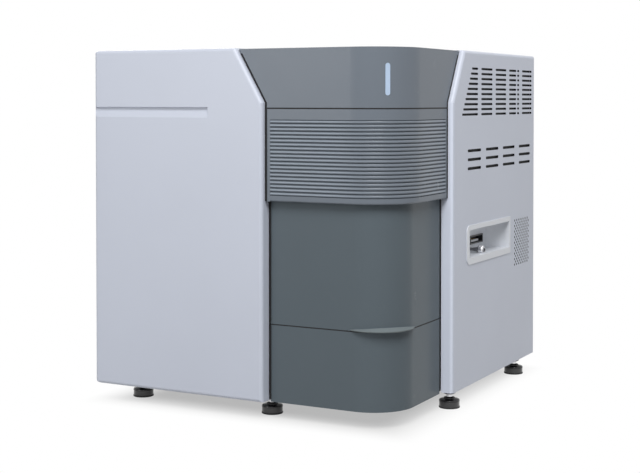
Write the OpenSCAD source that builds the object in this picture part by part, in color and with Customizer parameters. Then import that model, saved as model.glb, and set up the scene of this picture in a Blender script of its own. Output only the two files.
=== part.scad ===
// Bench-top flow cytometer: a white three-sided housing round a grey corner column
// with a lifting sample door. Millimetres. Origin: centre of the footprint, on the bench.
// +X is the right-hand side, -Y is the front, +Z is up.

/* [Housing] */
// Overall width
body_w = 540; // [520:1:600]
// Overall depth
body_d = 575; // [560:1:640]
// Overall height, levelling feet included
body_h = 560; // [550:1:600]
// Height of the housing above the bench
foot_h = 28; // [24:1:34]
// Wall of the moulded panels
wall = 3; // [2.5:0.1:3.5]
// Depth of the turned-in edge of the white panels
return_d = 33.5; // [30:0.5:36]
// Width of the turned-in edge of the side panels
side_return = 21; // [16:0.5:22]
// Rounding of the white panels' upright and slanted edges
edge_r = 6; // [3:0.5:8]
// Rounding of their top and bottom edges
top_edge_r = 5; // [2.5:0.5:7]
// Rounding of the side panels' rear edges
rear_edge_r = 1.5; // [1:0.5:4]
// Seam between the front cover and the panels behind it
cover_seam = 3; // [2.5:0.1:4]

/* [Corner column] */
// Right-hand edge of the front cover, from the centre line
column_x = 40; // [30:1:50]
// Front edge of the right side panel, in front of the centre line
column_y = 95; // [90:1:105]
// How far below the top the white edges start to slant
kink_drop = 82; // [74:1:86]
// Slant of the white edges above that height
slant = 30; // [20:1:35]
// How far the fascia and ribbed panel stand behind the white front
upper_set = 9; // [7:0.5:12]
// Corner radius of the fascia and ribbed panel
upper_r = 77; // [72:1:80]
// How far the door and lower panel stand behind the white front
lower_set = 20.5; // [18:0.5:24]
// Gap between the column and the white edges
column_gap = 2; // [1.5:0.1:3]
// Underside of the lower panel
lower_z = 26.5; // [24:0.5:27]
// Seam between the lower panel and the door
door_z = 144; // [135:1:150]
// Height of the ribbed panel, seam to seam
rib_h = 140; // [136:0.5:145]
// Height of the fascia, with the seam below it
fascia_h = 90.5; // [86:0.5:95]
// Width of the seams between grey parts
grey_seam = 1.4; // [1:0.1:2]
// Number of ribs
rib_count = 20; // [10:1:20]
// Distance from rib to rib
rib_pitch = 5.68; // [5:0.02:5.8]
// Plain margin at each upright end of the ribs
rib_margin = 7; // [4:0.5:12]
// Lift of the door
door_lift = 175; // [150:1:176]

/* [Vents and service bay] */
// Rows of upper vents
vent_rows = 10; // [4:1:10]
// Length of an upper vent
vent_l = 50.5; // [40:0.5:56]
// Height of an upper vent
vent_t = 3.6; // [2:0.1:5]
// Length of a lower vent
low_vent_l = 58; // [40:1:68]
// Height of a lower vent
low_vent_t = 4.6; // [3:0.1:6]
// Rows of holes in the perforated field
hole_rows = 17; // [5:1:17]
// Holes in each row
hole_columns = 7; // [3:1:7]
// Radius of a perforation
hole_r = 2.1; // [1:0.1:2.3]
// Land between the service bay opening and the first perforations
bay_land = 29.5; // [26:0.5:40]
// Height of the service bay opening
bay_h = 44.5; // [40:0.5:50]
// Depth of the service bay
bay_depth = 33; // [30:1:36]
// How far the bay's rim stands proud of the side panel
rim_rise = 1.2; // [0.8:0.1:1.6]
// Mouth radius of the fluid coupling
coupling_bore_r = 2.6; // [2:0.1:2.8]

/* [Feet] */
// Radius of a foot pad
foot_r = 16; // [12:0.5:18]
// Radius of the levelling stud
stud_r = 5; // [4:0.5:6]

/* [Sample bay] */
// Space between the sample bay's right wall and the side of the housing
sample_side = 60; // [58:1:64]
// Depth of the sample bay behind the door rails
sample_d = 269; // [265:1:275]
// Floor of the sample bay, above the bench
sample_z = 141; // [139:1:143]
// Thickness of folded sheet metal
sheet = 2; // [1.5:0.1:2.5]
// Radius of the stage's guide rods
guide_r = 4; // [3:0.5:5]
// Radius of the probe's guide rods
probe_rod_r = 3; // [2.5:0.5:3.5]

/* [Hidden] */
$fn = 64;
running = 0.05;   // radial clearance of a shaft in its bore
slip = 0.3;       // clearance between sliding blocks
half_w = body_w / 2;
half_d = body_d / 2;
panel_x = half_w - rim_rise;                 // outer plane of the right side panel
cover_back = -half_d + return_d;             // rear edge of the front cover
panel_front = cover_back + cover_seam;       // front edge of the left panel and top cover
kink_z = body_h - kink_drop;
fascia_z = body_h - fascia_h;                // seam between the ribbed panel and the fascia
rib_z = fascia_z - rib_h;                    // seam between the door and the ribbed panel
lower_r = upper_r - (lower_set - upper_set);
column_y0 = -column_y;                       // front plane of the right panel's turned edge
column_end = column_y0 - column_gap;         // rear end of the grey parts
grey_x0 = column_x + column_gap;             // left end of the grey parts
grey_wall = wall + 1;                        // wall of the fascia and ribbed panel
curl_r = 3;                                  // rounding of the grey parts' upright ends
grey_top = body_h - 1;
tray_t = 4;                                  // thickness of the base tray
tray_z = foot_h + 2;                         // its underside
tray_top = tray_z + tray_t;
tray_front = panel_front + 2;
post = 20;                                   // square section of posts and rails
cap_t = 12;                                  // depth of the top cover
rail_top = body_h - cap_t;
post_top = rail_top - post;                  // top of the posts, under the top rails
left_post_x = -half_w + 8;
rear_in = half_d - 15.5;                     // rear face of the inner frame
panel_in = half_d - 12;                      // outer face of the recessed rear panel

// ---------- helpers ----------

module box(x0, x1, y0, y1, z0, z1) translate([x0, y0, z0]) cube([x1 - x0, y1 - y0, z1 - z0]);
module rod_x(x0, x1, y, z, r) translate([x0, y, z]) rotate([0, 90, 0]) cylinder(r = r, h = x1 - x0);
module rod_y(x, y0, y1, z, r) translate([x, y0, z]) rotate([-90, 0, 0]) cylinder(r = r, h = y1 - y0);
module rod_z(x, y, z0, z1, r) translate([x, y, z0]) cylinder(r = r, h = z1 - z0);

// Children drawn in X and Z, standing between two Y planes
module front_slab(y0, y1) translate([0, y1, 0]) rotate([90, 0, 0]) linear_extrude(y1 - y0) children();
// Children drawn in Y and Z, standing between two X planes
module side_slab(x0, x1) translate([x0, 0, 0]) rotate([90, 0, 90]) linear_extrude(x1 - x0) children();
// Children drawn in X and Y, between two heights
module layer(z0, z1) translate([0, 0, z0]) linear_extrude(z1 - z0) children();

// The waste outside a quarter round of radius r at the (sx, sy) corner of a shape
module corner_cut(x, y, r, sx, sy)
    difference() {
        translate([x - (sx > 0 ? r : 1), y - (sy > 0 ? r : 1)]) square(r + 1);
        translate([x - sx * r, y - sy * r]) circle(r);
    }

// A prism along +Z that rounds an upright edge at the origin, with its body towards -X and -Y.
// Its arc stands a hair proud, so it meets both faces at a slight angle.
proud = 0.02;
module edge_waste(r, length)
    linear_extrude(length) difference() {
        translate([-r, -r]) square(r + 1);
        translate([proud - r, proud - r]) circle(r);
    }

// A slot with round ends, l long along the first axis and t high, from its left end
module slot(x, y, l, t) {
    translate([x + t / 2, y - t / 2]) square([l - t, t]);
    translate([x + t / 2, y]) circle(t / 2);
    translate([x + l - t / 2, y]) circle(t / 2);
}

// Plan of everything behind a column surface that stands set behind the white front and side
module corner_plan(set, r, x0, y1, end_r = 0) {
    xr = panel_x - set;
    yf = -half_d + set;
    difference() {
        translate([x0, yf]) square([xr - x0, y1 - yf]);
        corner_cut(xr, yf, r, 1, -1);
        if (end_r > 0) {
            corner_cut(x0, yf, end_r, -1, -1);
            corner_cut(xr, y1, end_r, 1, 1);
        }
    }
}

// Plan of a column shell that wraps the corner, with ends turned in by depth
module wrap_plan(set, r, t, depth, x0, y1, end_r)
    difference() {
        corner_plan(set, r, x0, y1, end_r);
        corner_plan(set + t, r - t, x0 + t, y1 - t, end_r - t);
        corner_plan(set + depth, r - depth, x0 - 1, y1 + 1);
    }

// Where a white edge has slanted to at height z, a distance in from it
function slant_shift(z, inset) = inset / cos(slant) + (z - kink_z) * tan(slant);
function kink_at(inset) = kink_z - inset * tan(slant / 2);

// ---------- white housing ----------

cover_low_r = 11;       // rounding of the cover's lower left corner
cover_top_r = 10;       // rounding of its upper left corner

module cover_outline(inset) {
    top = body_h - inset;
    difference() {
        polygon([[-half_w + inset, foot_h + inset], [column_x - inset, foot_h + inset],
            [column_x - inset, kink_at(inset)], [column_x - slant_shift(top, inset), top],
            [-half_w + inset, top]]);
        corner_cut(-half_w + inset, foot_h + inset, cover_low_r - inset, -1, -1);
        corner_cut(-half_w + inset, top, cover_top_r - inset, -1, 1);
    }
}

groove_z = body_h - 105; // lower edge of the finger groove
groove_h = 16;
groove_d = 4;
groove_end = -55.5;     // right-hand end of the groove
groove_back = 3;        // wall behind the groove
hinge_x = -half_w + 9;
hinge_y = -half_d + 17.5;
hinge_z = [60, body_h - 60]; // underside of each hinge bracket
pin_r = 3;
ear_r = 6;
ear_t = 6;
bracket_t = 5.5;

module front_cover() color([0.76, 0.78, 0.83])
    difference() {
        union() {
            difference() {
                front_slab(-half_d, cover_back) cover_outline(0);
                front_slab(-half_d + wall, cover_back + 1) cover_outline(wall);
            }
            // thickened wall behind the finger groove
            box(-half_w + wall, groove_end + 8, -half_d + wall, -half_d + groove_d + groove_back,
                groove_z - 6, groove_z + groove_h + 6);
            // hinge ears
            for (z = hinge_z) difference() {
                union() {
                    box(-half_w + wall, hinge_x + ear_r, -half_d + wall, hinge_y, z + bracket_t + slip,
                        z + bracket_t + slip + ear_t);
                    rod_z(hinge_x, hinge_y, z + bracket_t + slip, z + bracket_t + slip + ear_t, ear_r);
                }
                rod_z(hinge_x, hinge_y, z, z + 20, pin_r + running);
            }
        }
        // the turned-in edge is shallower beside the door
        box(column_x - wall - 1, column_x + 1, -half_d + lower_set + 0.5, cover_back + 1, foot_h - 1, rib_z);
        // rounded outer edges
        translate([-half_w, -half_d, 0]) rotate([0, 0, 180]) edge_waste(edge_r, body_h + 1);
        translate([column_x, -half_d, 0]) rotate([0, 0, -90]) edge_waste(edge_r, kink_z + edge_r);
        translate([column_x, -half_d, kink_z]) rotate([0, -slant, 0]) rotate([0, 0, -90])
            translate([0, 0, -edge_r]) edge_waste(edge_r, 120);
        translate([-half_w - 1, -half_d, body_h]) rotate([0, 90, 0]) rotate([0, 0, 180])
            edge_waste(top_edge_r, body_w);
        translate([-half_w - 1, -half_d, foot_h]) rotate([0, 90, 0]) rotate([0, 0, -90])
            edge_waste(top_edge_r, body_w);
        // finger groove: a sharp step above, sloping out below
        side_slab(-half_w - 1, groove_end)
            polygon([[-half_d - 1, groove_z + groove_h], [-half_d, groove_z + groove_h],
                [-half_d + groove_d, groove_z + groove_h - 1.5],
                [-half_d + groove_d, groove_z + groove_h - 3], [-half_d, groove_z], [-half_d - 1, groove_z]]);
    }

module cover_hinges() color([0.55, 0.56, 0.58])
    for (z = hinge_z) {
        layer(z, z + bracket_t) polygon([[hinge_x - 4, hinge_y - 5], [left_post_x + post + 16, hinge_y - 5],
            [left_post_x + post + 16, -half_d + 65.5], [left_post_x + post, -half_d + 65.5],
            [left_post_x + post, hinge_y + 20], [left_post_x + post + 4, hinge_y + 20],
            [left_post_x + post + 4, hinge_y + 4], [hinge_x - 4, hinge_y + 4]]);
        rod_z(hinge_x, hinge_y, z, z + bracket_t + slip + ear_t + 2, pin_r);
    }

module side_outline(y0, inset, slanted) {
    top = body_h - inset;
    z0 = inset > 0 ? foot_h - 1 : foot_h;
    if (slanted)
        polygon([[y0 + inset, z0], [half_d - inset, z0], [half_d - inset, top],
            [y0 + slant_shift(top, inset), top], [y0 + inset, kink_at(inset)]]);
    else
        polygon([[y0 + inset, z0], [half_d - inset, z0], [half_d - inset, top], [y0 + inset, top]]);
}

vent_z = body_h - 28.1; // top row of upper vents
vent_pitch_z = 8.11;
vent_y = column_y0 + 119.5; // front end of the first full column
vent_columns = 4;
vent_margin = 14.5;     // from the last column to the rear edge
vent_pitch_y = (half_d - vent_margin - vent_l - vent_y) / (vent_columns - 1);
vent_first_end = vent_y - 15.5; // rear end of the short first column
low_vent_z = vent_z - 130.6;
low_vent_pitch_z = 14.15;
low_vent_y = column_y0 + 60.4;
low_vent_margin = 22.6;
low_vent_pitch_y = (half_d - low_vent_margin - low_vent_l - low_vent_y) / 3;
split_web = 6;          // web across the last but one column of upper vents
split_end = 9.5;        // length of slot behind it
field_y = half_d - 101; // first perforation
field_z = 197;
field_pitch_y = 10.9;
field_pitch_z = 4.77;
bay_y = column_y0 + 67; // front end of the service bay opening
bay_l = field_y - bay_land - bay_y;
bay_z = 230.5;          // its lower edge

module vents() {
    for (row = [0:vent_rows - 1]) {
        z = vent_z - row * vent_pitch_z;
        y0 = column_y0 + 47 + (z - kink_z) * tan(slant);
        slot(y0, z, vent_first_end - y0, vent_t);
        for (c = [0:vent_columns - 1]) {
            y = vent_y + c * vent_pitch_y;
            split = c == vent_columns - 2;
            slot(y, z, split ? vent_l - split_web - split_end : vent_l, vent_t);
            if (split) slot(y + vent_l - split_end, z, split_end, vent_t);
        }
    }
    for (row = [0:2], c = [0:3])
        slot(low_vent_y + c * low_vent_pitch_y, low_vent_z - row * low_vent_pitch_z, low_vent_l, low_vent_t);
}

module perforations()
    for (row = [0:hole_rows - 1], c = [0:hole_columns - 1])
        translate([field_y + (c + (row % 2) / 2) * field_pitch_y, field_z + row * field_pitch_z])
            circle(hole_r);

slant_rear = column_y0 + (body_h - kink_z) * tan(slant) + wall / cos(slant);

module right_panel() color([0.74, 0.76, 0.80])
    difference() {
        side_slab(half_w - side_return, panel_x) side_outline(column_y0, 0, true);
        side_slab(half_w - side_return - 1, panel_x - wall) side_outline(column_y0, wall, true);
        // the turned-in edge is narrower beside the fascia and ribbed panel
        box(half_w - side_return - 1, panel_x - upper_set, column_y0 - 1, slant_rear, rib_z, body_h + 1);
        // rounded outer edges
        translate([panel_x, column_y0, 0]) rotate([0, 0, -90]) edge_waste(edge_r, kink_z + edge_r);
        translate([panel_x, column_y0, kink_z]) rotate([-slant, 0, 0]) rotate([0, 0, -90])
            translate([0, 0, -edge_r]) edge_waste(edge_r, 120);
        translate([panel_x, half_d, 0]) edge_waste(rear_edge_r, body_h + 1);
        translate([panel_x, -half_d, body_h]) rotate([-90, 0, 0]) rotate([0, 0, -90])
            edge_waste(top_edge_r, body_d + 1);
        side_slab(panel_x - wall - 1, panel_x + 1) vents();
        side_slab(panel_x - wall - 1, panel_x + 1) perforations();
        side_slab(panel_x - wall - 1, panel_x + 1) bay_outline(2.4);
    }

module left_panel() color([0.74, 0.76, 0.80])
    difference() {
        side_slab(-half_w, -half_w + side_return) side_outline(panel_front, 0, false);
        side_slab(-half_w + wall, -half_w + side_return + 1) side_outline(panel_front - 10, wall, false);
        translate([-half_w, half_d, 0]) rotate([0, 0, 90]) edge_waste(rear_edge_r, body_h + 1);
        translate([-half_w, half_d + 1, body_h]) rotate([90, 0, 0]) rotate([0, 0, 90])
            edge_waste(top_edge_r, body_d + 1);
    }

cap_x = half_w - side_return - 1.5;          // side edge of the top cover
cap_corner_r = 50.5;
cap_front = panel_front;
column_back = return_d + 2;                  // edge of the top cover round the column
column_rear = column_y0 + (body_h - kink_z) * tan(slant) + 2;

module cap_plan(inset)
    difference() {
        translate([-cap_x + inset, cap_front + inset])
            square([2 * (cap_x - inset), half_d - 2 - cap_front - 2 * inset]);
        translate([half_w - column_back - inset, cap_front - 1])
            square([column_back, column_rear + inset - cap_front + 1]);
        corner_cut(half_w - column_back - inset, cap_front + inset, cap_corner_r - inset, 1, -1);
    }

module top_cover() color([0.78, 0.80, 0.84])
    difference() {
        layer(body_h - cap_t, body_h) cap_plan(0);
        layer(body_h - cap_t - 1, body_h - wall) cap_plan(2.5);
    }

// ---------- rear ----------

fan_x = 150;
fan_z = 400;
fan_r = 57;
inlet_x = 90;
inlet_z = 74;
port_x = [-200, -165, -130];
port_z = 90;
rear_grille_x = -210;

module rear_panel() color([0.70, 0.72, 0.76])
    front_slab(rear_in, panel_in)
        difference() {
            translate([-half_w + wall + 0.5, tray_z]) square([half_w + panel_x - 2 * wall - 1,
                rail_top - tray_z]);
            translate([fan_x, fan_z]) circle(fan_r);
            translate([inlet_x - 14, inlet_z - 24]) square([28, 48]);
            translate([inlet_x + rocker_x - 8.5, inlet_z - 11]) square([17, 22]);
            for (x = port_x) translate([x, port_z]) circle(8);
            for (row = [0:7]) slot(rear_grille_x, 380 + row * 12, 150, 5);
        }

module fan_frame() color([0.12, 0.12, 0.13])
    front_slab(rear_in - 25, rear_in)
        difference() {
            translate([fan_x - 60, fan_z - 60]) square(120);
            translate([fan_x, fan_z]) circle(fan_r - 1);
        }

module fan_struts() color([0.12, 0.12, 0.13]) {
    rod_y(fan_x, rear_in - 25, rear_in - 22, fan_z, 19);
    for (a = [45:90:315]) translate([fan_x, rear_in - 25, fan_z]) rotate([0, a, 0])
        box(17, fan_r, 0.5, 2.5, -2, 2);
    rod_y(fan_x, rear_in - 23, rear_in - 6, fan_z, 2);
}

hood_d = 22;            // depth of the light hood over the fan's inner side

// Dark hood, open below, that lets air through and keeps light out
module fan_hood() color([0.12, 0.12, 0.13]) {
    front_slab(rear_in - 25 - hood_d, rear_in - 24.5) difference() {
        translate([fan_x - 60, fan_z - 60]) square(120);
        translate([fan_x - 58, fan_z - 61]) square([116, 119]);
    }
    front_slab(rear_in - 27 - hood_d, rear_in - 24.9 - hood_d) translate([fan_x - 60, fan_z - 60]) square(120);
}

module fan_rotor() color([0.16, 0.16, 0.17])
    difference() {
        union() {
            rod_y(fan_x, rear_in - 21, rear_in - 4, fan_z, 20);
            for (a = [0:360 / 7:359]) translate([fan_x, rear_in - 12.5, fan_z]) rotate([0, a, 0])
                rotate([32, 0, 0]) box(18, fan_r - 4, -1, 1, -11, 11);
        }
        rod_y(fan_x, rear_in - 22, rear_in - 5.5, fan_z, 2 + running);
    }

module fan_guard() color([0.75, 0.75, 0.77])
    difference() {
        union() {
            for (r = [14:11:58]) translate([fan_x, panel_in + 2.6, fan_z]) rotate([90, 0, 0])
                rotate_extrude() translate([r, 0]) square(1.6, center = true);
            for (a = [45:90:315]) translate([fan_x, panel_in, fan_z]) rotate([0, a, 0])
                box(13.6, 74, 0, 1.9, -0.9, 0.9);
        }
    }

rocker_x = 37;          // rocker's distance from the middle of the inlet
rocker_y = panel_in - 4;

// The inlet and the rocker's frame share one front plate
module power_inlet() color([0.10, 0.10, 0.11])
    translate([inlet_x, 0, inlet_z]) {
        difference() {
            union() {
                front_slab(panel_in, panel_in + 1.5) translate([-17, -26]) square([rocker_x + 27, 52]);
                front_slab(rear_in - 24, panel_in) square([27, 47], center = true);
                front_slab(rear_in - 12, panel_in) translate([rocker_x, 0]) square([16.8, 21.8], center = true);
            }
            front_slab(panel_in - 16, panel_in + 4) square([20, 25], center = true);
            front_slab(rear_in - 10, panel_in + 2) translate([rocker_x, 0]) square([13, 20.6], center = true);
        }
        for (x = [-6, 0, 6]) rod_y(x, panel_in - 16.5, panel_in - 4, x == 0 ? 4 : -3, 1.2);
        rod_x(rocker_x - 7, rocker_x + 7, rocker_y, 0, 1.5);
    }

module power_rocker() color([0.08, 0.08, 0.09])
    translate([inlet_x + rocker_x, rocker_y, inlet_z]) difference() {
        union() {
            rod_x(-6.2, 6.2, 0, 0, 6);
            side_slab(-6.2, 6.2) polygon([[-2, -8.5], [4.5, -8.5], [3.5, 0], [7.5, 8.5], [1, 8.5]]);
        }
        rod_x(-7, 7, 0, 0, 1.5 + running);
    }

module rear_ports() color([0.80, 0.80, 0.82])
    for (x = port_x) difference() {
        union() {
            rod_y(x, rear_in - 14, panel_in + 3, port_z, 7.9);
            rod_y(x, panel_in, panel_in + 4, port_z, 11);
            rod_y(x, panel_in + 4, panel_in + 11, port_z, 5.5);
            rod_y(x, rear_in - 26, rear_in - 14, port_z, 4);
        }
        rod_y(x, rear_in - 30, panel_in + 12, port_z, 2.5);
    }

// ---------- grey corner column ----------

light_angle = 41.4;     // of the light bar round the corner, from the front
light_z0 = fascia_z + 18.9;
light_l = 47.2;
light_w = 7.1;

// Everything between the slanted white edges, for the fascia
module between_slants() {
    shift = (body_h + 2 - kink_z) * tan(slant);
    intersection() {
        front_slab(-half_d - 1, half_d) polygon([[grey_x0, 0], [half_w + 1, 0], [half_w + 1, body_h + 2],
            [grey_x0 - shift, body_h + 2], [grey_x0, kink_z]]);
        side_slab(-half_w, half_w + 1) polygon([[-half_d - 1, 0], [column_end, 0], [column_end, kink_z],
            [column_end + shift, body_h + 2], [-half_d - 1, body_h + 2]]);
    }
}

module at_light()
    translate([panel_x - upper_set - upper_r, -half_d + upper_set + upper_r, 0])
        rotate([0, 0, light_angle - 90]) children();

module fascia() color([0.50, 0.54, 0.58])
    difference() {
        intersection() {
            union() {
                layer(fascia_z + grey_seam / 2, grey_top) wrap_plan(upper_set, upper_r, grey_wall, 30,
                    -half_w / 4, half_d / 4, curl_r);
                layer(grey_top - wall, grey_top) difference() {
                    corner_plan(upper_set, upper_r, -40, 0);
                    corner_plan(return_d, 52, -41, 1);
                }
            }
            between_slants();
        }
        at_light() side_slab(upper_r - grey_wall - 1, upper_r + 1)
            slot_upright(light_z0, light_l, light_w + 0.3);
    }

// An upright slot with round ends, centred on the first axis
module slot_upright(z, l, w) {
    translate([-w / 2, z + w / 2]) square([w, l - w]);
    translate([0, z + w / 2]) circle(w / 2);
    translate([0, z + l - w / 2]) circle(w / 2);
}

module status_light() color([0.71, 0.79, 0.89])
    at_light() {
        side_slab(upper_r - grey_wall - 0.5, upper_r + 0.2) slot_upright(light_z0 + 0.15, light_l - 0.3, light_w);
        side_slab(upper_r - grey_wall - 3, upper_r - grey_wall - 0.5)
            translate([-7, light_z0 - 4]) square([14, light_l + 8]);
    }

rib_depth = 1.8;
rib_r = 3;
rib_field = rib_count * rib_pitch;
rib_base = rib_z + (fascia_z - rib_z - rib_field) * 0.36;

// Cross-section of the ribbed wall: the outer face lies at x = 0 and the wall towards -X
module rib_profile()
    difference() {
        translate([-grey_wall, rib_z + grey_seam / 2]) square([grey_wall, fascia_z - rib_z - grey_seam]);
        difference() {
            translate([-rib_depth, rib_base]) square([rib_depth + 1, rib_field]);
            for (i = [0:rib_count - 1]) translate([-rib_r, rib_base + (i + 0.5) * rib_pitch]) circle(rib_r);
        }
        corner_cut(0, rib_z + grey_seam / 2, 2.5, 1, -1);
    }

module ribbed_panel() color([0.45, 0.48, 0.52]) {
    xr = panel_x - upper_set;
    yf = -half_d + upper_set;
    // front run
    translate([grey_x0 + rib_margin, yf, 0]) rotate([90, 0, 90]) mirror([1, 0, 0])
        linear_extrude(xr - upper_r - grey_x0 - rib_margin) rib_profile();
    // corner
    translate([xr - upper_r, yf + upper_r, 0]) rotate([0, 0, -90]) rotate_extrude(angle = 90)
        translate([upper_r, 0]) rib_profile();
    // side run
    translate([xr, column_end - rib_margin, 0]) rotate([90, 0, 0])
        linear_extrude(column_end - rib_margin - yf - upper_r) rib_profile();
    // plain ends, turned in
    for (end = [0, 1]) layer(rib_z + grey_seam / 2, fascia_z - grey_seam / 2) intersection() {
        wrap_plan(upper_set, upper_r, grey_wall, 9, grey_x0, column_end, curl_r);
        if (end == 0) translate([grey_x0 - 1, yf - 1]) square([rib_margin + 1, 20]);
        else translate([xr - 20, column_end - rib_margin]) square([21, rib_margin + 1]);
    }
}

liner_r = upper_r - grey_wall + 1;

module column_liner() color([0.30, 0.31, 0.33]) {
    set = upper_set + grey_wall;
    difference() {
        layer(rib_z + 4, rail_top) difference() {
            corner_plan(set, liner_r, grey_x0 + grey_wall + 1, column_end - grey_wall - 1);
            corner_plan(set + sheet, liner_r - sheet, grey_x0 + grey_wall, column_end - grey_wall);
        }
        // window behind the light bar
        at_light() box(upper_r - 12, upper_r + 1, -10, 10, light_z0 - 6, light_z0 + light_l + 6);
    }
    layer(rail_top - sheet, rail_top) difference() {
        corner_plan(set, liner_r, grey_x0 + 1, column_end + 17);
        corner_plan(set + 48, 30, grey_x0, column_end + 18);
    }
}

module lower_panel() color([0.38, 0.41, 0.44]) {
    layer(lower_z, door_z - grey_seam / 2)
        wrap_plan(lower_set, lower_r, wall, 10, grey_x0, column_end, curl_r);
    // foot flange, screwed up against the base tray
    layer(tray_z - 3, tray_z) difference() {
        corner_plan(lower_set + 1, lower_r - 1, grey_x0 + 1, column_end - 1, curl_r - 1);
        corner_plan(lower_set + 28, 40, grey_x0, column_end);
    }
}

lip_reach = 12.5;       // how far the handle lip stands out from the door's corner
lip_h = 6;
lip_flat = 2;
lip_tip = 7;            // how far each tip of the lip runs past the corner's round
door_top = rib_z + 7;

// The lip's outer edge is an arc through both tips and the furthest point, so its
// centre stands out from the corner's by lip_shift, along the diagonal
lip_shift = (pow(lower_r + lip_reach, 2) - pow(lower_r, 2) - pow(lip_tip, 2))
    / (2 * (lower_r + lip_reach) - sqrt(2) * (lower_r - lip_tip));
lip_arc_r = lower_r + lip_reach - lip_shift;

module door_panel() color([0.40, 0.43, 0.47]) {
    z0 = door_z + grey_seam / 2;
    layer(z0, door_top) wrap_plan(lower_set, lower_r, wall, 10, grey_x0, column_end, curl_r);
    // handle lip: a crescent that flares out of the corner
    difference() {
        translate([panel_x - lower_set - lower_r + lip_shift / sqrt(2),
            -half_d + lower_set + lower_r - lip_shift / sqrt(2), 0])
            rotate_extrude() polygon([[0, z0], [lip_arc_r - 1, z0], [lip_arc_r, z0 + 1],
                [lip_arc_r, z0 + lip_flat], [lip_arc_r - lip_reach, z0 + lip_h], [0, z0 + lip_h]]);
        layer(z0 - 1, z0 + lip_h + 1) corner_plan(lower_set + wall / 2, lower_r - wall / 2, -half_w, half_d);
    }
}

// Door rails: an open C-channel at each end of the door
channel_w = 14;
channel_d = 12;
channel_wall = 2;
channel_gap = 4.6;
rail_front_y = -half_d + 38.5;               // mouth of the left channel
rail_side_x = half_w - 42;                   // mouth of the right channel
left_rail_x = grey_x0 + 11;
right_rail_y = column_end - 10;
door_rail_z0 = sample_z;
door_rail_z1 = door_top + door_lift + 11.5;  // the shoes stay inside the rails at full lift

module channel_plan()
    difference() {
        translate([-channel_w / 2, 0]) square([channel_w, channel_d]);
        translate([-channel_w / 2 + channel_wall, channel_wall])
            square([channel_w - 2 * channel_wall, channel_d - 2 * channel_wall]);
        translate([-channel_gap / 2, -1]) square([channel_gap, channel_wall + 2]);
    }

module door_rails() color([0.66, 0.67, 0.69])
    layer(door_rail_z0, door_rail_z1) {
        translate([left_rail_x, rail_front_y]) channel_plan();
        translate([rail_side_x, right_rail_y]) rotate(90) channel_plan();
    }

// A shoe: foot against the door, stem through the mouth of the channel, and head inside it
module shoe_plan(reach, side) {
    translate([-channel_gap / 2 + slip, -reach]) square([channel_gap - 2 * slip, reach + channel_wall + 2]);
    translate([-channel_w / 2 + channel_wall + slip, channel_wall + slip])
        square([channel_w - 2 * channel_wall - 2 * slip, channel_d - 2 * channel_wall - 2 * slip]);
    translate([side * 2.5 - 4.5, -reach]) square([9, 3]);
}

module door_shoes() color([0.85, 0.85, 0.82])
    for (z = [door_z + 24, door_top - 50]) layer(z, z + 30) {
        translate([left_rail_x, rail_front_y]) shoe_plan(rail_front_y + half_d - lower_set - wall, 1);
        translate([rail_side_x, right_rail_y]) rotate(90) shoe_plan(panel_x - lower_set - wall - rail_side_x, -1);
    }

// ---------- frame ----------

foot_at = [[-half_w + 50, tray_front + 24], [column_x - 15, tray_front + 19], [half_w - 18, column_y0 + 27],
    [half_w - 17, rear_in - 45], [-half_w + 50, rear_in - 45]];
tray_corner_x = half_w - 38;
tray_corner_r = 50;
nut_r = 7;              // weld nuts for the levelling studs
tray_notch_y = column_y0 + wall + 1;

module base_tray() color([0.60, 0.61, 0.63])
    difference() {
        union() {
            layer(tray_z, tray_top) difference() {
                translate([-half_w + wall, tray_front]) square([half_w + panel_x - 2 * wall, rear_in - tray_front]);
                translate([tray_corner_x, tray_front - 1]) square([50, tray_notch_y - tray_front + 1]);
                corner_cut(tray_corner_x, tray_front, tray_corner_r, 1, -1);
            }
            for (p = foot_at) rod_z(p[0], p[1], tray_top, tray_top + 10, nut_r);
            // upturned edges
            box(-half_w + wall, -half_w + wall + 2, tray_front, rear_in, tray_top, tray_top + 14);
            box(-half_w + wall + 2, panel_x - wall, rear_in - 2, rear_in, tray_top, tray_top + 14);
        }
        for (p = foot_at) rod_z(p[0], p[1], tray_z - 1, tray_top + 11, stud_r + running);
    }

post_at = [[left_post_x, tray_front + 9], [left_post_x, rear_in - 97], [half_w - 28, rear_in - 66],
    [half_w - 58, column_end - 3]];

module frame_posts() color([0.52, 0.53, 0.55]) {
    for (i = [0:1]) layer(tray_top, post_top) translate(post_at[i]) tube_plan(post, post);
    layer(tray_top, post_top) translate(post_at[2]) tube_plan(post, 12);
    layer(tray_top, rail_top - sheet) translate(post_at[3]) tube_plan(post, post);
}

module tube_plan(w, d)
    difference() {
        square([w, d]);
        translate([1.5, 1.5]) square([w - 3, d - 3]);
    }

beam_z = 280;
beam_y = [post_at[0][1] + 22, post_at[1][1] - 22];
bulk_x = grey_x0 + 1;   // left face of the bulkhead

module frame_rails() color([0.52, 0.53, 0.55]) {
    left_in = left_post_x + post;
    right_out = half_w - 8;
    box(left_post_x, left_in, post_at[0][1], rear_in, post_top, rail_top);
    box(left_in, bulk_x, post_at[0][1], post_at[0][1] + post, post_top, rail_top);
    box(left_in, right_out - post, rear_in - post, rear_in, post_top, rail_top);
    box(right_out - post, right_out, -40, rear_in, post_top, rail_top);
    box(bulk_x + wall, right_out - post, -40, -20, post_top, rail_top);
    box(post_at[3][0], post_at[3][0] + post, post_at[3][1] + post, -40, post_top, rail_top);
    for (y = beam_y) box(left_in, bulk_x, y, y + post, beam_z, beam_z + post);
}

module mid_bulkhead() color([0.66, 0.67, 0.69])
    difference() {
        union() {
            box(bulk_x, bulk_x + wall, tray_front, rear_in - post, tray_top, rail_top - sheet);
            box(bulk_x - 20, bulk_x, tray_front, tray_front + 2, tray_top + 12, post_top - 40);
        }
        rod_x(bulk_x - 1, bulk_x + wall + 1, -100, 300, 6);
    }

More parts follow.
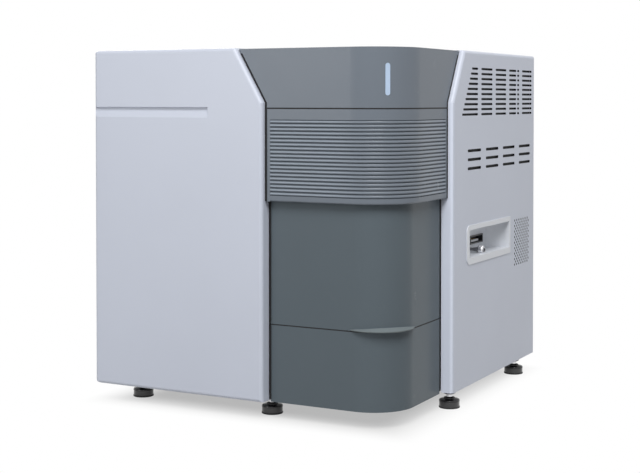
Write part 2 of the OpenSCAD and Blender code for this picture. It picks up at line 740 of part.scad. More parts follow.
// ---------- sample bay ----------

bulk_r = bulk_x + wall;
sample_x1 = half_w - sample_side;
sample_y1 = -half_d + 52.5 + sample_d;
sample_top = 329;
liner_front = -half_d + 52.5;

module bay_liner() color([0.80, 0.81, 0.82]) {
    box(bulk_r, sample_x1 + sheet, liner_front, sample_y1 + sheet, sample_z - sheet, sample_z);
    box(sample_x1, sample_x1 + sheet, post_at[3][1], sample_y1 + sheet, sample_z, sample_top);
    box(bulk_r, sample_x1, sample_y1, sample_y1 + sheet, sample_z, sample_top);
    box(bulk_r, sample_x1 + sheet, liner_front, sample_y1 + sheet, sample_top, sample_top + sheet);
}

stage_y0 = liner_front + 7;
stage_y1 = sample_y1 - 4;
stage_x = [bulk_r + 20, sample_x1 - 20];
stage_base_t = 6;
guide_z = sample_z + 16;
tray_x = (bulk_r + sample_x1) / 2;           // middle of the plate tray
tray_y = -90;
carriage_half_x = (sample_x1 - bulk_r) / 2 - 10;
carriage_half_y = 40;
cross_y = 28;                                // cross rods, each side of the tray's middle
cross_z = guide_z + 18;
cross_r = 3;
plate_w = 86;                                // the tray's pocket, for a standard 96-well plate
plate_l = 128.4;
plate_rim = 3.2;
tray_bottom = cross_z + 9;

module stage_base() color([0.45, 0.46, 0.48])
    union() {
        box(stage_x[0] - 14, stage_x[1] + 14, stage_y0, stage_y1, sample_z, sample_z + stage_base_t);
        for (x = stage_x) {
            for (y = [stage_y0, stage_y1 - 10]) box(x - 10, x + 10, y, y + 10, sample_z + stage_base_t, guide_z + 7);
            rod_y(x, stage_y0 + 5, stage_y1 - 5, guide_z, guide_r);
        }
        // belt motor at the rear
        box(tray_x - 14, tray_x + 14, stage_y1 - 24, stage_y1 - 2, sample_z + stage_base_t, sample_z + 26);
    }

module stage_carriage() color([0.72, 0.73, 0.75])
    difference() {
        union() {
            box(tray_x - carriage_half_x, tray_x + carriage_half_x, tray_y - carriage_half_y,
                tray_y + carriage_half_y, guide_z - 1, guide_z + 7);
            for (x = stage_x) box(x - 9, x + 9, tray_y - carriage_half_y, tray_y + carriage_half_y,
                guide_z - 8, guide_z + 8);
            for (x = [tray_x - carriage_half_x, tray_x + carriage_half_x - 6], y = [-cross_y, cross_y])
                box(x, x + 6, tray_y + y - 7, tray_y + y + 7, guide_z + 7, cross_z + 6);
            for (y = [-cross_y, cross_y])
                rod_x(tray_x - carriage_half_x + 2, tray_x + carriage_half_x - 2, tray_y + y, cross_z, cross_r);
        }
        for (x = stage_x)
            rod_y(x, tray_y - carriage_half_y - 1, tray_y + carriage_half_y + 1, guide_z, guide_r + running);
    }

module plate_tray() color([0.14, 0.15, 0.16])
    difference() {
        union() {
            layer(tray_bottom, tray_bottom + 12) difference() {
                square_at(tray_x, tray_y, plate_w + 2 * plate_rim, plate_l + 2 * plate_rim);
                for (y = [-1, 1]) translate([0, y * (cross_y + plate_l / 2 - 2) / 2 + y * 6])
                    square_at(tray_x, tray_y, plate_w - 12, plate_l / 2 - cross_y - 20);
                square_at(tray_x, tray_y, plate_w - 12, 2 * cross_y - 20);
            }
            for (x = [-1, 1], y = [-cross_y, cross_y])
                box(tray_x + x * 23 - 7, tray_x + x * 23 + 7, tray_y + y - 8, tray_y + y + 8,
                    cross_z - 6, tray_bottom);
        }
        layer(tray_bottom + 4, tray_bottom + 13) square_at(tray_x, tray_y, plate_w, plate_l);
        for (y = [-cross_y, cross_y])
            rod_x(tray_x - 50, tray_x + 50, tray_y + y, cross_z, cross_r + running);
        // finger notches on the long sides
        box(tray_x - 60, tray_x + 60, tray_y - 14, tray_y + 14, tray_bottom + 6, tray_bottom + 13);
    }

module square_at(x, y, w, d) translate([x - w / 2, y - d / 2]) square([w, d]);

probe_x = bulk_r + 22;                       // line of the probe's rods and screw
probe_z0 = 222;
probe_z1 = 322;
probe_rods = 14;                             // each rod's distance from the screw
screw_r = 3;
probe_rest = 262;                            // underside of the carriage with the probe up

module probe_column() color([0.62, 0.63, 0.65])
    difference() {
        union() {
            box(bulk_r, bulk_r + 5, tray_y - 22, tray_y + 22, probe_z0, probe_z1);
            for (z = [probe_z0, probe_z1 - 6]) box(bulk_r + 5, probe_x + 9, tray_y - 22, tray_y + 22, z, z + 6);
            for (y = [-probe_rods, probe_rods]) rod_z(probe_x, tray_y + y, probe_z0 + 2, probe_z1 - 2, probe_rod_r);
        }
        rod_z(probe_x, tray_y, probe_z0 - 1, probe_z1 + 1, screw_r + running);
    }

module probe_screw() color([0.80, 0.80, 0.82]) {
    rod_z(probe_x, tray_y, probe_z0 + 0.5, probe_z1 - 0.5, screw_r);
    difference() {
        rod_z(probe_x, tray_y, probe_z1 - 13, probe_z1 - 6.5, 8);
        for (a = [0:60:359]) translate([probe_x, tray_y, 0]) rotate([0, 0, a])
            rod_z(8.6, 0, probe_z1 - 14, probe_z1 - 6, 1.6);
    }
}

module probe_carriage() color([0.30, 0.31, 0.33])
    difference() {
        union() {
            box(probe_x - 8, probe_x + 9, tray_y - 20, tray_y + 20, probe_rest, probe_rest + 20);
            box(probe_x + 9, tray_x + 7, tray_y - 6, tray_y + 6, probe_rest + 6, probe_rest + 14);
        }
        for (y = [-probe_rods, probe_rods])
            rod_z(probe_x, tray_y + y, probe_rest - 1, probe_rest + 21, probe_rod_r + running);
        rod_z(probe_x, tray_y, probe_rest - 1, probe_rest + 21, screw_r + running);
        rod_z(tray_x, tray_y, probe_rest, probe_rest + 15, 1.5);
    }

probe_tip = 225;
probe_top = 300;

module sample_probe() color([0.82, 0.83, 0.85])
    difference() {
        union() {
            rod_z(tray_x, tray_y, probe_tip, probe_top, 1.5);
            rod_z(tray_x, tray_y, probe_rest + 14, probe_rest + 22, 4);
        }
        rod_z(tray_x, tray_y, probe_tip - 1, probe_top + 1, 0.8);
    }

// ---------- optics ----------

deck_x0 = -half_w + 18;
deck_x1 = bulk_x - 5;
deck_y0 = tray_front + 13;
deck_y1 = rear_in - 10;
deck_z0 = beam_z + post + 18;
deck_t = 12;
deck_z = deck_z0 + deck_t;
isolator_x = [deck_x0 + 27, deck_x1 - 23];

module optics_deck() color([0.25, 0.26, 0.28])
    difference() {
        box(deck_x0, deck_x1, deck_y0, deck_y1, deck_z0, deck_z);
        for (y = beam_y, x = isolator_x) rod_z(x, y + post / 2, deck_z0 - 1, deck_z + 1, 4);
        // clearance for the left-hand posts, which pass through the deck's edge
        for (i = [0:1]) box(deck_x0 - 1, left_post_x + post + 2, post_at[i][1] - 2, post_at[i][1] + post + 2,
            deck_z0 - 1, deck_z + 1);
    }

module deck_isolators() color([0.10, 0.10, 0.11])
    for (y = beam_y, x = isolator_x)
        translate([x, y + post / 2, beam_z + post]) rotate_extrude()
            polygon([[0, 0], [14, 0], [14, 3], [10, 6], [10, 12], [14, 15], [14, 18], [3.9, 18], [3.9, 22], [0, 22]]);

// A laser: finned body with an end plate and a beam snout towards the front
module laser(x, y0, y1, w, h, fins) {
    box(x - w / 2, x + w / 2, y0, y1, deck_z, deck_z + h);
    for (i = [0:fins - 1]) {
        y = y0 + 6 + i * (y1 - y0 - 14) / (fins - 1);
        box(x - w / 2 + 2, x + w / 2 - 2, y, y + 2, deck_z + h, deck_z + h + 14);
    }
    rod_y(x, y0 - 8, y0, deck_z + 24, 7);
}

module laser_violet() color([0.20, 0.21, 0.23]) laser(mirror_x[0], -70, 90, 50, 46, 12);
module laser_blue() color([0.20, 0.21, 0.23]) laser(mirror_x[1], -70, 70, 46, 42, 11);
module laser_red() color([0.20, 0.21, 0.23]) laser(mirror_x[2], -70, 50, 42, 40, 9);

mirror_x = [-200, -135, -75];
cell_x = 8;
beam_line_y = -120;

module beam_mirrors() color([0.70, 0.72, 0.75])
    for (x = mirror_x) {
        box(x - 13, x + 13, beam_line_y - 13, beam_line_y + 13, deck_z, deck_z + 8);
        translate([x, beam_line_y, deck_z + 8]) rotate([0, 0, 45]) difference() {
            translate([-12, -2.5, 0]) cube([24, 5, 32]);
            translate([0, -3, 16]) rotate([-90, 0, 0]) cylinder(r = 9, h = 6);
        }
    }

module flow_cell_block() color([0.72, 0.73, 0.75])
    difference() {
        box(cell_x - 20, cell_x + 20, beam_line_y - 20, beam_line_y + 20, deck_z, deck_z + 60);
        box(cell_x - 6, cell_x + 6, beam_line_y - 6, beam_line_y + 6, deck_z + 6, deck_z + 61);
        rod_x(cell_x - 21, cell_x - 5, beam_line_y, deck_z + 24, 6);
        rod_y(cell_x, beam_line_y + 5, beam_line_y + 21, deck_z + 24, 9);
    }

module flow_cell() color([0.80, 0.90, 0.95, 0.5])
    difference() {
        box(cell_x - 5.5, cell_x + 5.5, beam_line_y - 5.5, beam_line_y + 5.5, deck_z + 6, deck_z + 70);
        box(cell_x - 1, cell_x + 1, beam_line_y - 1, beam_line_y + 1, deck_z + 5, deck_z + 71);
    }

module objective() color([0.12, 0.12, 0.13])
    translate([cell_x, beam_line_y + 12, deck_z + 24]) rotate([-90, 0, 0]) rotate_extrude()
        polygon([[4, 0], [7, 0], [8.9, 6], [8.9, 14], [12, 14], [12, 44], [9, 44], [9, 50], [0, 50], [0, 47],
            [4, 47]]);

detector_y = [[deck_y1 - 272, deck_y1 - 152], [deck_y1 - 132, deck_y1 - 12]];

module detector(y0, y1) {
    box(-42, 30, y0, y1, deck_z, deck_z + 70);
    for (i = [0:7]) box(-38 + i * 8.6, -36 + i * 8.6, y0 + 4, y1 - 4, deck_z + 70, deck_z + 84);
}

module detector_module_1() color([0.16, 0.17, 0.19]) detector(detector_y[0][0], detector_y[0][1]);
module detector_module_2() color([0.16, 0.17, 0.19]) detector(detector_y[1][0], detector_y[1][1]);

fibre_r = 1.6;

// Fibres leave the objective side by side and enter the front face of the first module
module fibre_bundle() color([0.90, 0.55, 0.15])
    for (i = [-1:1]) rod_y(cell_x + i * 4, beam_line_y + 62, detector_y[0][0], deck_z + 24 + i * 3, fibre_r);

// ---------- fluidics and electronics ----------

pump_x = -95;
pump_z = 96;
pump_y0 = tray_front + 37; // front face of the pump head

module pump_body() color([0.82, 0.83, 0.85])
    difference() {
        union() {
            box(pump_x - 42, pump_x + 42, pump_y0, pump_y0 + 102, tray_top, pump_z + 42);
            rod_y(pump_x, pump_y0 - 24, pump_y0, pump_z, 3);
            // half-round shoe above the rotor
            front_slab(pump_y0 - 22, pump_y0) difference() {
                translate([pump_x - 36, pump_z]) square([72, 36]);
                translate([pump_x, pump_z]) circle(27);
            }
        }
    }

module pump_rotor() color([0.18, 0.19, 0.21])
    difference() {
        union() {
            rod_y(pump_x, pump_y0 - 4, pump_y0 - 1, pump_z, 21);
            rod_y(pump_x, pump_y0 - 21, pump_y0 - 18, pump_z, 21);
            rod_y(pump_x, pump_y0 - 19, pump_y0 - 3, pump_z, 8);
            for (a = [90:120:330]) rod_y(pump_x + 17 * cos(a), pump_y0 - 19, pump_y0 - 3, pump_z + 17 * sin(a), 6);
        }
        rod_y(pump_x, pump_y0 - 25, pump_y0, pump_z, 3 + running);
    }

filter_x = -190;
filter_y = tray_front + 109;
filter_h = 196;

module sheath_filter() color([0.92, 0.93, 0.94])
    translate([filter_x, filter_y, tray_top]) rotate_extrude()
        polygon([[0, 0], [26, 0], [26, 10], [30, 14], [30, 20], [27, 24], [27, 150], [30, 154], [30, 162],
            [24, 168], [8, 172], [8, 182], [4, 182], [4, filter_h], [0, filter_h]]);

manifold_z = 170;

module valve_manifold() color([0.86, 0.88, 0.90])
    union() {
        box(valve_x, bulk_x, filter_y - 75, filter_y + 75, manifold_z, manifold_z + 30);
        for (y = valve_y) {
            rod_z(valve_x + 13, y, manifold_z + 30, manifold_z + 34, 10);
            box(valve_x + 4, valve_x + 22, y - 9, y + 9, manifold_z + 34, manifold_z + 66);
            rod_x(valve_x - 12, valve_x, y, manifold_z + 15, 4);
        }
    }

tube_r = 2;
tube_bend = 16;
valve_x = bulk_x - 26;  // front face of the manifold
valve_y = [for (i = [-2:2]) filter_y + 30 * i];
tube_down_x = valve_x - 36;

// A quarter turn in X and Z about (x, z), from angle a
module tube_turn(x, y, z, a)
    translate([x, y, z]) rotate([90, 0, 0]) rotate([0, 0, a]) rotate_extrude(angle = 90)
        translate([tube_bend, 0]) circle(tube_r);

// From the top of the sheath filter over to the middle valve
module fluid_tubing() color([0.85, 0.90, 0.95]) {
    z0 = tray_top + filter_h;
    z1 = z0 + 12;
    z2 = manifold_z + 15;
    rod_z(filter_x, filter_y, z0, z1, tube_r);
    tube_turn(filter_x + tube_bend, filter_y, z1, 90);
    rod_x(filter_x + tube_bend, tube_down_x - tube_bend, filter_y, z1 + tube_bend, tube_r);
    tube_turn(tube_down_x - tube_bend, filter_y, z1, 0);
    rod_z(tube_down_x, filter_y, z2 + tube_bend, z1, tube_r);
    tube_turn(tube_down_x + tube_bend, filter_y, z2 + tube_bend, 180);
    rod_x(tube_down_x + tube_bend, valve_x - 12, filter_y, z2, tube_r);
}

supply_y = rear_in - 142;

module power_supply() color([0.70, 0.71, 0.72])
    difference() {
        box(70, 210, supply_y, supply_y + 116, tray_top, tray_top + 66);
        for (i = [0:9]) box(80 + i * 13, 86 + i * 13, supply_y - 1, supply_y + 1, tray_top + 12, tray_top + 54);
    }

board_z = sample_top + sheet;

module main_board() color([0.10, 0.30, 0.18])
    union() {
        box(60, 205, -100, 20, board_z + 8, board_z + 10);
        for (x = [68, 197], y = [-92, 12]) rod_z(x, y, board_z, board_z + 8, 3);
        box(80, 110, -80, -50, board_z + 10, board_z + 14);
        box(130, 170, -85, -35, board_z + 10, board_z + 13);
        for (i = [0:5]) box(132 + i * 7, 134 + i * 7, -83, -37, board_z + 13, board_z + 30);
        for (i = [0:3]) box(75 + i * 30, 97 + i * 30, 4, 16, board_z + 10, board_z + 22);
    }

// ---------- service bay ----------

bay_rim_top = 8;
bay_rim_low = 10;
bay_rim_front = 11;
bay_rim_rear = 5;
bay_corner_r = 11;
tub_wall = 2.5;

// Opening of the bay, grown by a margin
module bay_outline(grow)
    difference() {
        translate([bay_y - grow, bay_z - grow]) square([bay_l + 2 * grow, bay_h + 2 * grow]);
        corner_cut(bay_y - grow, bay_z - grow, 3 + grow, -1, -1);
        corner_cut(bay_y - grow, bay_z + bay_h + grow, 3 + grow, -1, 1);
    }

module rim_outline()
    difference() {
        translate([bay_y - bay_rim_front, bay_z - bay_rim_low])
            square([bay_l + bay_rim_front + bay_rim_rear, bay_h + bay_rim_low + bay_rim_top]);
        corner_cut(bay_y - bay_rim_front, bay_z - bay_rim_low, bay_corner_r, -1, -1);
        corner_cut(bay_y - bay_rim_front, bay_z + bay_h + bay_rim_top, bay_corner_r, -1, 1);
    }

scoop_r = 28;
tub_floor_x = panel_x - bay_depth;           // inner wall of the bay

module tub_hollow()
    intersection() {
        side_slab(tub_floor_x, half_w + 2) bay_outline(0);
        // the rear end is scooped out to the rim
        layer(bay_z - 20, bay_z + bay_h + 20) difference() {
            translate([tub_floor_x - 1, bay_y - 5]) square([bay_depth + 10, bay_l + 6]);
            corner_cut(tub_floor_x, bay_y + bay_l, scoop_r, -1, 1);
        }
    }

module service_tub() color([0.80, 0.82, 0.85])
    difference() {
        union() {
            side_slab(panel_x, half_w) rim_outline();
            side_slab(tub_floor_x - tub_wall, panel_x + 0.1) bay_outline(2.1);
        }
        tub_hollow();
        // seats for the receptacle and the coupling
        side_slab(tub_floor_x - tub_wall - 1, tub_floor_x + 1)
            translate([plug_y, plug_z]) square([plug_l, plug_h]);
        rod_x(tub_floor_x - tub_wall - 1, tub_floor_x + 1, coupling_y, coupling_z, 4);
    }

plug_y = 58;
plug_z = 242;
plug_l = 58;
plug_h = 14.5;
coupling_y = 52;
coupling_z = 236;
coupling_r = 3.8;

module data_receptacle() color([0.06, 0.06, 0.07]) {
    difference() {
        side_slab(tub_floor_x - 14, tub_floor_x + 1.5) translate([plug_y + 0.2, plug_z + 0.2])
            square([plug_l - 0.4, plug_h - 0.4]);
        side_slab(tub_floor_x - 11, tub_floor_x + 3) translate([plug_y + 2.2, plug_z + 2.2])
            square([plug_l - 4.4, plug_h - 4.4]);
    }
    side_slab(tub_floor_x - 12, tub_floor_x + 0.5) translate([plug_y + 5, plug_z + 4.2]) square([plug_l - 26, 3.4]);
}

module coupling_body() color([0.80, 0.81, 0.83])
    translate([tub_floor_x, coupling_y, coupling_z]) rotate([0, 90, 0]) rotate_extrude()
        polygon([[1.2, -12], [3.9, -12], [3.9, 0], [5, 0], [5, 2], [2.4, 3.5], [2.4, 8], [coupling_r, 15],
            [coupling_r, 29], [coupling_bore_r, 29], [coupling_bore_r, 15], [1.2, 15]]);

module coupling_sleeve() color([0.86, 0.87, 0.89])
    translate([tub_floor_x, coupling_y, coupling_z]) rotate([0, 90, 0]) rotate_extrude()
        polygon([[coupling_r + running, 18.5], [4.9, 18.5], [5.2, 19], [5.2, 26.5], [4.9, 27],
            [coupling_r + running, 27]]);

// ---------- feet ----------

module foot(i) color([0.20, 0.20, 0.21])
    translate([foot_at[i][0], foot_at[i][1], 0]) rotate_extrude()
        polygon([[0, 0], [foot_r - 1.5, 0], [foot_r, 1.5], [foot_r, 10], [foot_r - 1, 12], [8, 13.5], [8, 15.5],
            [stud_r, 16.5], [stud_r, tray_top + 14], [stud_r - 1, tray_top + 15], [0, tray_top + 15]]);

base_tray();
frame_posts();
frame_rails();
mid_bulkhead();
left_panel();
right_panel();
top_cover();
rear_panel();
fascia();
status_light();
ribbed_panel();
column_liner();
lower_panel();
door_rails();
bay_liner();
optics_deck();
deck_isolators();
laser_violet();
laser_blue();
laser_red();
beam_mirrors();
flow_cell_block();
flow_cell();
objective();
fibre_bundle();
detector_module_1();
detector_module_2();
pump_body();
pump_rotor();
sheath_filter();
valve_manifold();
fluid_tubing();
power_supply();
main_board();
power_inlet();
power_rocker();
union() { fan_frame(); fan_struts(); fan_hood(); }
fan_rotor();
fan_guard();
rear_ports();
service_tub();
data_receptacle();
coupling_body();
coupling_sleeve();
front_cover();
cover_hinges();
door_panel();
door_shoes();
stage_base();
stage_carriage();
plate_tray();
probe_column();
probe_screw();
probe_carriage();
sample_probe();
foot(0);  // foot_front_left
foot(1);  // foot_front_middle
foot(2);  // foot_side_front
foot(3);  // foot_side_rear
foot(4);  // foot_rear_left
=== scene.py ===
"""Looks for a bench-top flow cytometer: camera, studio, finishes and small fittings.

Metres, in the part's own frame: +X is the right-hand side, -Y the front, +Z up. The sizes of the
fittings are in millimetres and are multiplied by MM where a mesh is made.
"""

import math

import bmesh
import bpy
from mathutils import Matrix, Vector, noise

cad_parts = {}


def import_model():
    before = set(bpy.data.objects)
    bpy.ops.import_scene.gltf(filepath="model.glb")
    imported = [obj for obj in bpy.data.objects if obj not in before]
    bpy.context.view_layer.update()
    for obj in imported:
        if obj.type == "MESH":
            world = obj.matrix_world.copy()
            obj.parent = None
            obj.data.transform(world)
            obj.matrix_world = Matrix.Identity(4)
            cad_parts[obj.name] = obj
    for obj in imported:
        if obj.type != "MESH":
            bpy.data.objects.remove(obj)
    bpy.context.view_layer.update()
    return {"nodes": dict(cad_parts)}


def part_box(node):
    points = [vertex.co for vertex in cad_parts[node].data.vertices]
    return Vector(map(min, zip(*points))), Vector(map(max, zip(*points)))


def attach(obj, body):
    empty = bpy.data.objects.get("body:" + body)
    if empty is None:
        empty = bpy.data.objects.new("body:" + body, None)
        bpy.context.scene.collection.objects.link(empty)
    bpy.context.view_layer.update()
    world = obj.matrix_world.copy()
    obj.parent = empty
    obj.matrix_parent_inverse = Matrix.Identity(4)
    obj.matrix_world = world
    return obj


MM = 0.001

# Above a kink, the white shell's edges beside the column lean away from it, by LEAN mm per mm.
KINK_BELOW_TOP = 82
LEAN = math.tan(math.radians(30))

# The grey column's outside corner: its radius, and how far it stands behind the white faces.
UPPER_RADIUS, UPPER_INSET = 77, 9
LOWER_RADIUS, LOWER_INSET = 65.5, 20.5

# Where the column's mouldings end: on the front at this x, on the right-hand side at this y.
COLUMN_LEFT, COLUMN_REAR = 42, -97

RIB_COUNT, RIB_PITCH, RIBS_ABOVE_FOOT = 20, 5.68, 8.8

WHITE = (0.555, 0.590, 0.680)
UPPER_GREY = (0.158, 0.182, 0.214)
LOWER_GREY = (0.104, 0.128, 0.146)

FEET = ("foot_front_left", "foot_front_middle", "foot_side_front", "foot_side_rear",
    "foot_rear_left")


# ---------- camera ----------

def place_camera():
    lens = bpy.data.cameras.new("bench_camera")
    lens.sensor_width = 36
    lens.lens = 74.6
    lens.shift_x = 0.0023
    lens.shift_y = -0.167
    lens.clip_end = 100
    camera = bpy.data.objects.new("bench_camera", lens)
    camera.location = (1.0386, -1.9954, 0.4825)
    camera.rotation_euler = (math.radians(88.702), 0, math.radians(27.861))
    bpy.context.scene.collection.objects.link(camera)
    bpy.context.scene.camera = camera


# ---------- how finishes are written ----------

class Number:
    """A number that varies over a surface. Arithmetic on it adds Math nodes."""

    def __init__(self, tree, socket):
        self.tree = tree
        self.socket = socket

    def __add__(self, other):
        return self.tree.maths("ADD", self, other)

    def __sub__(self, other):
        return self.tree.maths("SUBTRACT", self, other)

    def __rsub__(self, other):
        return self.tree.maths("SUBTRACT", other, self)

    def __mul__(self, other):
        return self.tree.maths("MULTIPLY", self, other)

    __radd__ = __add__
    __rmul__ = __mul__

    def __abs__(self):
        return self.tree.maths("ABSOLUTE", self)

    def at_least(self, low):
        return self.tree.maths("MAXIMUM", self, low)

    def at_most(self, high):
        return self.tree.maths("MINIMUM", self, high)

    def above(self, low, high):
        """0 below low, 1 above high, smooth between."""
        return self.tree.node("ShaderNodeMapRange", {"interpolation_type": "SMOOTHSTEP"},
            {"Value": self, "From Min": low, "From Max": high}, "Result")


class Tree:
    """The node tree of a material or a world, emptied. One method makes its nodes."""

    def __init__(self, owner, output):
        owner.use_nodes = True
        self.nodes = owner.node_tree.nodes
        self.links = owner.node_tree.links
        self.nodes.clear()
        self.surface = self.nodes.new(output).inputs["Surface"]

    def node(self, kind, settings, inputs, output=0):
        """Makes a node with its settings, feeds its inputs, and gives one of its outputs."""
        made = self.nodes.new(kind)
        for name, value in settings.items():
            setattr(made, name, value)
        for name, value in inputs.items():
            self.feed(made.inputs[name], value)
        return Number(self, made.outputs[output])

    def feed(self, socket, value):
        if isinstance(value, Number):
            self.links.new(value.socket, socket)
        elif isinstance(value, tuple) and len(value) == 3 and socket.type == "RGBA":
            socket.default_value = (*value, 1)
        else:
            socket.default_value = value

    def maths(self, operation, *values):
        return self.node("ShaderNodeMath", {"operation": operation}, dict(enumerate(values)))

    def blend(self, factor, shader, other):
        return self.node("ShaderNodeMixShader", {}, {"Fac": factor, 1: shader, 2: other},
            "Shader")

    def looks_past(self):
        """1 for a ray that sees the studio: straight on, in a gloss or through glass."""
        rays = [self.node("ShaderNodeLightPath", {}, {}, ray)
            for ray in ("Is Camera Ray", "Is Glossy Ray", "Is Transmission Ray")]
        return (rays[0] + rays[1] + rays[2]).at_most(1)


class Finish(Tree):
    """A material whose colour, roughness and relief lie on the part's own coordinates."""

    def __init__(self, name, **sockets):
        self.material = bpy.data.materials.new(name)
        super().__init__(self.material, "ShaderNodeOutputMaterial")
        self.body = self.node("ShaderNodeBsdfPrincipled", {}, {}, "BSDF")
        self.feed(self.surface, self.body)
        self.place = self.node("ShaderNodeTexCoord", {}, {}, "Object")
        self.set(**sockets)

    def set(self, **sockets):
        """Feeds the shader's own sockets, named in lower case with underscores."""
        inputs = self.body.socket.node.inputs
        for name, value in sockets.items():
            self.feed(inputs[name.replace("_", " ").title().replace("Ior", "IOR")], value)
        return self

    def stretch(self, x, y, z):
        return self.node("ShaderNodeVectorMath", {"operation": "MULTIPLY"},
            {0: self.place, 1: (x, y, z)})

    def noise(self, size, detail=2, place=None):
        """Cloudy noise, 0 to 1, whose clouds are about size mm across."""
        return self.node("ShaderNodeTexNoise", {}, {"Vector": place or self.place,
            "Scale": 1 / (size * MM), "Detail": detail})

    def cells(self, size, output="Distance"):
        return self.node("ShaderNodeTexVoronoi", {},
            {"Vector": self.place, "Scale": 1 / (size * MM)}, output)

    def axis(self, name, vector=None):
        return self.node("ShaderNodeSeparateXYZ", {}, {0: vector or self.place}, name)

    def mix(self, factor, low, high):
        """Colour low where factor is 0 and colour high where it is 1."""
        # Its sockets share their names, so the colour ones go by number.
        amount, first, second, result = 0, 6, 7, 2
        return self.node("ShaderNodeMix", {"data_type": "RGBA"},
            {amount: factor, first: low, second: high}, result)

    def clouded(self, colour, size, detail=2, darker=0.97, lighter=1.03):
        """The colour with a faint change of tone in clouds about size mm across."""
        return self.mix(self.noise(size, detail), shade(colour, darker), shade(colour, lighter))

    def relief(self, height, depth):
        """Feeds Normal with a relief of depth mm."""
        return self.set(normal=self.node("ShaderNodeBump", {},
            {"Height": height, "Distance": depth * MM, "Strength": 1.0}, "Normal"))


def shade(colour, amount):
    return tuple(min(1.0, c * amount) for c in colour)


# ---------- finishes ----------

def moulded(name, colour, roughness, depth=0.03, shine=0.5, painted_light=None):
    """Spark-eroded plastic: fine pebbling, a faint change of tone, slightly polished patches.
    The optional last argument paints light and shade onto the plain colour: painted highlights and
    painted shade."""
    f = Finish(name, specular_ior_level=shine)
    pebbles = f.noise(1.0, 3)
    plain = f.clouded(colour, 130)
    f.set(base_color=painted_light(f, plain, colour) if painted_light else plain,
        roughness=roughness - 0.05 + 0.07 * f.noise(35, 3) + 0.04 * pebbles)
    return f.relief(pebbles + 0.5 * f.cells(0.6), depth)


def powder_coat(name, colour, roughness, painted_light=None):
    """Stoved paint on metal: orange peel and a faint change of tone. The optional last argument
    paints light and shade onto the plain colour.
    """
    f = Finish(name)
    peel = 2.2
    plain = f.clouded(colour, 160)
    f.set(base_color=painted_light(f, plain, colour) if painted_light else plain,
        roughness=roughness - 0.04 + 0.08 * f.noise(45, 3))
    return f.relief(f.noise(peel, 2) + 0.25 * f.noise(peel * 0.3, 1), 0.03)


def plated_sheet(name, colour, roughness):
    """Zinc-plated sheet: spangle and rolling marks."""
    f = Finish(name, metallic=1.0)
    spangle = f.cells(9, "Color")
    rolled = f.noise(3, 3, f.stretch(1, 0.05, 1))
    f.set(base_color=f.mix(0.12, f.mix(rolled, shade(colour, 0.9), shade(colour, 1.08)), spangle),
        roughness=roughness - 0.08 + 0.16 * rolled + 0.08 * f.noise(25, 2))
    return f.relief(rolled, 0.02)


def turned_metal(name, colour, roughness, mark=0.8, depth=0.01):
    """Machined or ground metal: tool marks about mark mm apart and a faint bloom."""
    f = Finish(name, metallic=1.0)
    marks = f.noise(mark, 3, f.stretch(0.2, 0.2, 3))
    f.set(base_color=f.clouded(colour, 20, 2, 0.93, 1.05),
        roughness=roughness - 0.04 + 0.1 * marks + 0.04 * f.noise(12, 2))
    return f.relief(marks, depth)


def anodised(name, colour, roughness):
    """Dyed anodised aluminium: matt, with a fine blasted grain."""
    f = Finish(name, metallic=0.35)
    grain = f.noise(0.5, 2)
    f.set(base_color=f.clouded(colour, 40, 3, 0.85, 1.15),
        roughness=roughness - 0.05 + 0.1 * grain + 0.05 * f.noise(30, 2))
    return f.relief(grain, 0.015)


def levelling_foot(name, pad_top):
    """A gloss black pad below pad_top and a bright plated stud above it."""
    f = Finish(name, coat_weight=0.5, coat_roughness=0.06)
    stud = f.axis("Z").above(pad_top, pad_top + 0.3 * MM)
    marks = f.noise(0.8, 3, f.stretch(0.2, 0.2, 3))
    pad = f.mix(f.noise(9, 2), (0.010, 0.010, 0.012), (0.016, 0.016, 0.018))
    f.set(base_color=f.mix(stud, pad, (0.62, 0.62, 0.64)), metallic=stud,
        roughness=0.13 + 0.08 * marks)
    return f.relief(marks, 0.006)


def rubber(name, colour):
    """Matt rubber or foam: a coarse grain and blotches of tone."""
    f = Finish(name)
    grain = f.noise(0.7, 3)
    f.set(base_color=f.clouded(colour, 9, 3, 0.8, 1.5), roughness=0.68 + 0.2 * grain)
    return f.relief(grain, 0.05)


def glass(name, colour, roughness=0.03):
    """Clear quartz or tubing: nearly even, with a faint waviness."""
    f = Finish(name, transmission_weight=1.0, ior=1.46)
    f.set(base_color=f.clouded(colour, 14, 2, 0.96, 1.0),
        roughness=roughness + 0.03 * f.noise(6, 2))
    return f.relief(f.noise(5, 1), 0.004)


def lit_lens(name, colour):
    """Diffusing lens of the status light, brightest at mid height."""
    low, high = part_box("status_light")
    f = Finish(name, emission_strength=0.12)
    height = f.axis("Z").above(low.z, high.z)
    glow = 4 * height * (1 - height)
    f.set(base_color=f.clouded(colour, 4, 2, 0.95, 1.0),
        emission_color=f.mix(glow, shade(colour, 0.55), colour),
        roughness=0.16 + 0.06 * f.noise(3, 2))
    return f.relief(f.noise(0.8, 1), 0.01)


def circuit_board(name):
    """Green solder mask over tracks that show as faint ridges."""
    f = Finish(name)
    black, white = (0, 0, 0), (1, 1, 1)
    track = f.node("ShaderNodeTexBrick", {"offset": 0.5}, {"Vector": f.place, "Scale": 160.0,
        "Mortar Size": 0.035, "Color1": black, "Color2": black, "Mortar": white}, "Color")
    tracks = f.mix(track, (0.008, 0.06, 0.025), (0.02, 0.13, 0.05))
    dulled = f.mix(f.noise(30, 2), (0.3, 0.3, 0.3), (0.8, 0.8, 0.8))
    f.set(base_color=f.mix(dulled, tracks, (0.012, 0.08, 0.03)),
        roughness=0.3 + 0.15 * f.noise(5, 2))
    return f.relief(track, 0.03)


